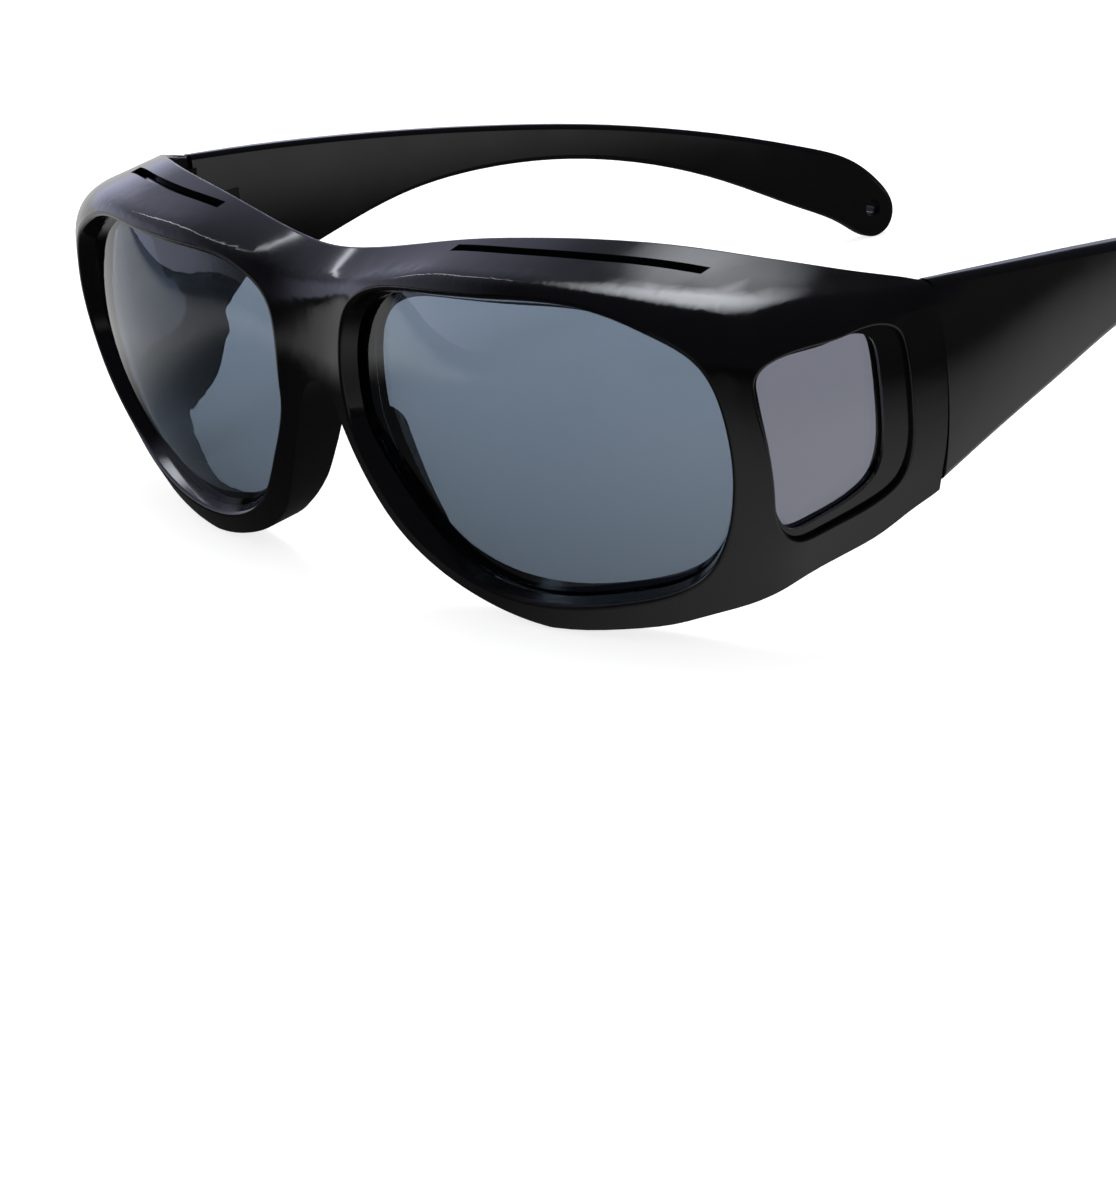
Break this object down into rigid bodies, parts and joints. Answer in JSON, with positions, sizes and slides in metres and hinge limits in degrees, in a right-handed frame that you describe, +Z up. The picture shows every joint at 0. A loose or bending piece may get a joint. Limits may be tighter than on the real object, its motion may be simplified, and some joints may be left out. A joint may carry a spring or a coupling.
{
  "type": "fitover sunglasses",
  "caption": "Wrap-round sunglasses worn over other glasses, with a moulded gloss frame, tinted front lenses, tinted side windows and folding temples.",
  "frame": {"origin": "middle of the footprint of the open pair, at the level of the table it stands on", "axes": "+X towards the wearer's left, +Y from the lenses back along the temples, +Z up"},
  "size_m": [0.1564, 0.1744, 0.0514],
  "materials": {
    "frame_plastic": "gloss",
    "lens_tint": "gloss, see-through smoke tint",
    "side_tint": "gloss, see-through smoke tint",
    "hinge_metal": "satin",
    "screw_metal": "satin"
  },
  "bodies": {
    "front": {"front_frame": "frame_plastic", "left_lens": "lens_tint", "right_lens": "lens_tint", "left_side_lens": "side_tint", "right_side_lens": "side_tint", "left_front_hinge": "hinge_metal", "right_front_hinge": "hinge_metal", "left_hinge_screw": "screw_metal", "right_hinge_screw": "screw_metal"},
    "left_temple_arm": {"left_temple": "frame_plastic", "left_temple_hinge": "hinge_metal"},
    "right_temple_arm": {"right_temple": "frame_plastic", "right_temple_hinge": "hinge_metal"}
  },
  "joints": [
    {"name": "left_temple_fold", "type": "hinge", "parent": "front", "child": "left_temple_arm", "pos_m": [0.07353, -0.0483, 0.0312], "axis": [0, 0, 1], "range_deg": [0, 88]},
    {"name": "right_temple_fold", "type": "hinge", "parent": "front", "child": "right_temple_arm", "pos_m": [-0.07353, -0.0483, 0.0312], "axis": [0, 0, -1], "range_deg": [0, 81]}
  ]
}
